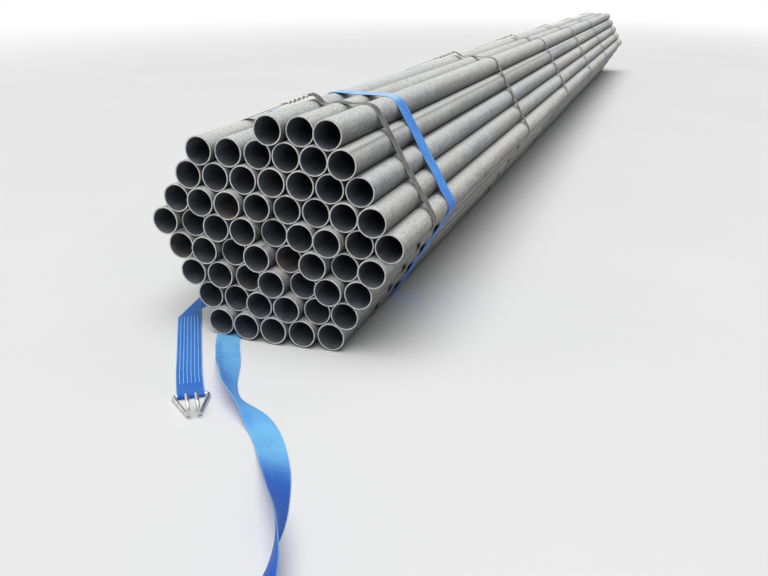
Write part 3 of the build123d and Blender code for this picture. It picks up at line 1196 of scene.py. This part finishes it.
def tail_relief(across, place):
    """Small waves of the tail's edges."""
    edge = smooth(abs(across), 0.006, 0.025)
    return TAIL_WAVE * edge * (1 + sin(60 * place[1] + 30 * across))


tail_line = even_steps(spline_points(tail_route, 24), 0.004)
ahead = -tail_line[:, 1]
lean = smooth(ahead, LEAN_STARTS, LEAN_FULL) * (1 - smooth(ahead, LEAN_EASES, LEAN_ENDS))
tail_roll = TAIL_LEAN * lean + pi * smooth(ahead, TWIST_STARTS, TWIST_ENDS)
on_fold = 1 - smooth(ahead - ahead[0], 0.0, TAIL_FOLD_REACH)
tail_line[:, 2] += 2 * FOLD_R * on_fold + (WEB_W / 2) * np.abs(np.sin(tail_roll))
tail_line[:, 2] += TAIL_WAVE * (1 - np.cos(tail_roll))
rings = band_rings(tail_line, turned_side(tail_line, tail_roll), web_section, relief=tail_relief)
lengths = line_lengths(tail_line)
tail = band_object("webbing_loose_tail", rings, web_section, lengths, WEBBING, own=OWN_TAIL)
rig.ride(tail, "root")
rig.replaces(tail, "webbing_tail")
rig.slot(tail, "webbing")
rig.cord(
    tail,
    exit=tuple(tail_line[0]),
    length=1.150,
    diameter=WEB_W,
    far_end="bare",
    stiffness="limp",
    lay="loose",
    path=[tuple(p) for p in tail_line],
)

# The hook's end: in under the pack from the hanging run, folded forward, and folded again
# towards the hook
HOOK_AT = np.array([-0.038, -3.262])
HOOK_WAYS = [heading(0), heading(-103), heading(-57.3)]
LAST_RUN = 0.43
BAR_TURN = radians(3.9)  # from the last run's way to the hook's own
BAR_TURN_LENGTH = 0.12
hook_start = np.array([profile[0][0], WEB_Y])
turns = [unit(a - b) * FOLD_TURN for a, b in zip(HOOK_WAYS, HOOK_WAYS[1:])]
last_side = np.array([-HOOK_WAYS[2][1], HOOK_WAYS[2][0], 0.0])
bar_shift = last_side[:2] * BAR_TURN * BAR_TURN_LENGTH / 2
left_over = HOOK_AT - HOOK_WAYS[2] * LAST_RUN - bar_shift - hook_start - sum(turns)
first_run, second_run = np.linalg.solve(np.stack(HOOK_WAYS[:2], axis=1), left_over)
hook_run = FlatRun(
    hook_start, HOOK_WAYS[0], [(first_run, HOOK_WAYS[1]), (first_run + second_run, HOOK_WAYS[2])]
)
hook_length = first_run + second_run + LAST_RUN


def hook_place(s, across, up):
    """A point of the hook's end of the webbing, turned at the last to lie square to the bar."""
    done = max(0.0, s - hook_length + BAR_TURN_LENGTH)
    turned = BAR_TURN * done / BAR_TURN_LENGTH
    shift = last_side * turned * done / 2 - np.array([*HOOK_WAYS[2], 0.0]) * turned * across
    return hook_run.place(s, across, up) + shift


hook_end = folded_webbing(
    "webbing_hook_side", hook_place, hook_length, hook_run.slants(), OWN_HOOK_SIDE
)
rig.ride(hook_end, "root")
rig.replaces(hook_end, "webbing_hook_end")
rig.slot(hook_end, "webbing")

# Its end is turned back round the hook's bar and sewn down
SEWN_LENGTH = 0.362
EYE_R = 0.0048
EYE_Z = 0.0058
hook_way = np.array([*HOOK_WAYS[2], 0.0]) * cos(BAR_TURN) + last_side * sin(BAR_TURN)
hook_side = np.cross(hook_way, UPWARD)
eye = np.array([*HOOK_AT, EYE_Z])
lap_section = band_section(WEB_W - 0.0006, WEB_T, 15, 0.45)
LAP_OFF = WEB_T + 0.0002  # from the middle of the webbing to the middle of the lap on it
LAP_DROP = 0.034


def lap_point(s, across, up):
    """A point of the lap: s back from the bar, across to the right of the hook's way."""
    rest = hook_place(hook_length - s, 0.0, LAP_OFF)[2]
    place = hook_place(hook_length - s, -across, LAP_OFF + up)
    place[2] += (EYE_Z + EYE_R - rest) * (1 - smooth(s, 0.0, LAP_DROP))
    return place


bar_angles = np.radians(range(-90, 91, 15))
bar_line = np.array([eye + EYE_R * (hook_way * cos(t) + UPWARD * sin(t)) for t in bar_angles])
lap_rings = band_rings(bar_line, np.tile(hook_side, (len(bar_line), 1)), lap_section)
lap_steps = np.arange(0.006, SEWN_LENGTH + 0.001, 0.004)
lap_rings += [[lap_point(s, a, -h) for a, h in lap_section] for s in lap_steps]
lap_at = line_lengths(bar_line)
lap_at = [*lap_at, *(lap_at[-1] + lap_steps)]
sewn = band_object("webbing_sewn_lap", lap_rings, lap_section, lap_at, WEBBING, own=OWN_LAP)
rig.ride(sewn, "root")
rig.slot(sewn, "webbing")


STITCH_ROWS = 6
STITCH_FIELD = 0.036  # across all rows
STITCH_LENGTH, STITCH_STEP = 0.0036, 0.0048
STITCH_START = 0.05  # from the bar
THREAD_R = 0.0008


def stitches():
    """Rows of lengthwise stitches through the sewn lap, as short raised threads."""
    verts, faces = [], []
    across_rows = np.linspace(-STITCH_FIELD / 2, STITCH_FIELD / 2, STITCH_ROWS)
    for s in np.arange(STITCH_START, SEWN_LENGTH - 0.006, STITCH_STEP):
        for across in across_rows:
            first = len(verts)
            ends = [lap_point(t, across, WEB_T / 2 + 0.0001) for t in (s, s + STITCH_LENGTH)]
            for t, size in ((0.0, 0.4), (0.25, 1.0), (0.75, 1.0), (1.0, 0.4)):
                middle = ends[0] + (ends[1] - ends[0]) * t
                for turn in np.radians(range(0, 360, 60)):
                    out = hook_side * cos(turn) + UPWARD * sin(turn)
                    verts.append(middle + out * THREAD_R * size)
            for ring in range(first, first + 18, 6):
                for k in range(6):
                    a, b = ring + k, ring + (k + 1) % 6
                    faces.append((a, b, b + 6, a + 6))
            faces.append(tuple(first + k for k in range(6))[::-1])
            faces.append(tuple(first + 18 + k for k in range(6)))
    return make_object("sewing_thread", verts, faces, [THREAD], 60)


sewing = stitches()
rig.ride(sewing, "root")
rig.slot(sewing, "webbing")

hook_path = [tuple(hook_place(s, 0.0, 0.0)) for s in np.arange(0.0, hook_length, 0.004)]
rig.cord(
    hook_end,
    exit=hook_path[0],
    length=0.740,
    diameter=WEB_W,
    far_end="fitting",
    stiffness="limp",
    lay="loose",
    with_pieces=[nodes["wire_hook"], sewn, sewing],
    path=hook_path + [tuple(hook_place(hook_length, 0.0, 0.0))],
)

nodes["wire_hook"].data.materials.clear()
nodes["wire_hook"].data.materials.append(ZINC)

# Floor, light and camera
FLOOR_SIZE = 60.0
FADE_NEAR, FADE_FAR = 3.0, 9.0  # where the floor starts to turn white, and where it is white
AMBIENT = ((0.93, 0.96, 1.0), 0.19)
BACKDROP = ((1.0, 1.0, 1.0), 1.0)


def floor_material():
    """Pale matt floor that turns to the white of the backdrop far from the pack."""
    n = Surface("floor")
    tone = n.noise(n.place(), 1.2, 4, 0.5)
    colour = n.ramp(tone, [(0.3, (0.795, 0.795, 0.785)), (0.7, (0.815, 0.815, 0.805))])
    n.fill(n.shader, Base_Color=colour, Roughness=0.85, Specular_IOR_Level=0.2)
    away = n.add("ShaderNodeVectorMath", operation="LENGTH")
    squeezed = n.add("ShaderNodeVectorMath", operation="MULTIPLY")
    n.link(n.place(), squeezed.inputs[0])
    squeezed.inputs[1].default_value = (1.0, 0.6, 1.0)
    n.link(squeezed.outputs["Vector"], away.inputs[0])
    far = n.between(away.outputs["Value"], FADE_NEAR, FADE_FAR)
    rays = n.add("ShaderNodeLightPath").outputs
    seen = n.math("MAXIMUM", rays["Is Camera Ray"], rays["Is Glossy Ray"])
    white = n.add("ShaderNodeEmission")
    mixer = n.add("ShaderNodeMixShader")
    n.link(n.times(far, seen), mixer.inputs[0])
    n.link(n.shader.outputs[0], mixer.inputs[1])
    n.link(white.outputs[0], mixer.inputs[2])
    n.link(mixer.outputs[0], n.out.inputs["Surface"])
    return n.material


half = FLOOR_SIZE / 2
floor_corners = [(-half, -half, 0), (half, -half, 0), (half, half, 0), (-half, half, 0)]
floor = make_object("floor", floor_corners, [(0, 1, 2, 3)], [floor_material()])
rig.stage(floor)

world = bpy.data.worlds.new("studio")
scene.world = world
n = Nodes(world, "ShaderNodeOutputWorld")
rays = n.add("ShaderNodeLightPath").outputs
seen = n.math("MAXIMUM", rays["Is Camera Ray"], rays["Is Glossy Ray"])
seen = n.math("MAXIMUM", seen, rays["Is Transmission Ray"])
choose = n.add("ShaderNodeMixShader")
n.link(seen, choose.inputs[0])
for target, (colour, strength) in zip(choose.inputs[1:], (AMBIENT, BACKDROP)):
    n.link(n.fill(n.add("ShaderNodeBackground"), Color=colour, Strength=strength), target)
n.link(choose.outputs[0], n.out.inputs["Surface"])


def add_lamp(name, kind, toward, place=(0, 0, 0), **settings):
    """A lamp that shines one way, with the settings of its kind."""
    lamp = bpy.data.lights.new(name, kind)
    for key, value in settings.items():
        setattr(lamp, key, value)
    obj = add_object(name, lamp)
    obj.location = place
    obj.rotation_mode = "QUATERNION"
    obj.rotation_quaternion = Vector(toward).to_track_quat("-Z", "Y")


add_lamp("overhead", "SUN", (-0.02, 0.24, -1.0), energy=2.48, angle=radians(62))
front_light = {"shape": "RECTANGLE", "size": 4.0, "size_y": 3.0, "energy": 52}
add_lamp("front", "AREA", (-1.6, 5.0, -4.3), (1.6, -8.0, 4.5), **front_light)

scene.view_settings.view_transform = "Standard"

# Camera: the photograph's viewpoint, turned to the pack and zoomed in
PHOTO_W, PHOTO_H = 768, 576
PHOTO_FOCAL_PX = 513.5
AIM_PX = (316.0, 328.0)
ZOOM = 1.5
CAMERA_AT = Vector((0.703, -4.31, 0.71945))
forward = Vector((-0.1924, 0.9359, -0.2949)).normalized()
photo_up = Vector((-0.1169, 0.2766, 0.9539))
photo_up = (photo_up - forward * photo_up.dot(forward)).normalized()
photo_right = forward.cross(photo_up)
aim = (
    forward
    + photo_right * ((AIM_PX[0] - PHOTO_W / 2) / PHOTO_FOCAL_PX)
    - photo_up * ((AIM_PX[1] - PHOTO_H / 2) / PHOTO_FOCAL_PX)
).normalized()
up = (photo_up - aim * photo_up.dot(aim)).normalized()
right = aim.cross(up)
camera_data = bpy.data.cameras.new("camera")
camera_data.sensor_width = 36.0
camera_data.lens = PHOTO_FOCAL_PX * ZOOM / PHOTO_W * camera_data.sensor_width
camera = add_object("camera", camera_data)
turn = Matrix((right, up, -aim)).transposed().to_4x4()
camera.matrix_world = Matrix.Translation(CAMERA_AT) @ turn
scene.camera = camera

with open("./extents.json", "w") as out:
    json.dump(
        {
            "cad": [list(c) for c in cad_box],
            "visual": [list(c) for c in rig.bounds()],
        },
        out,
    )
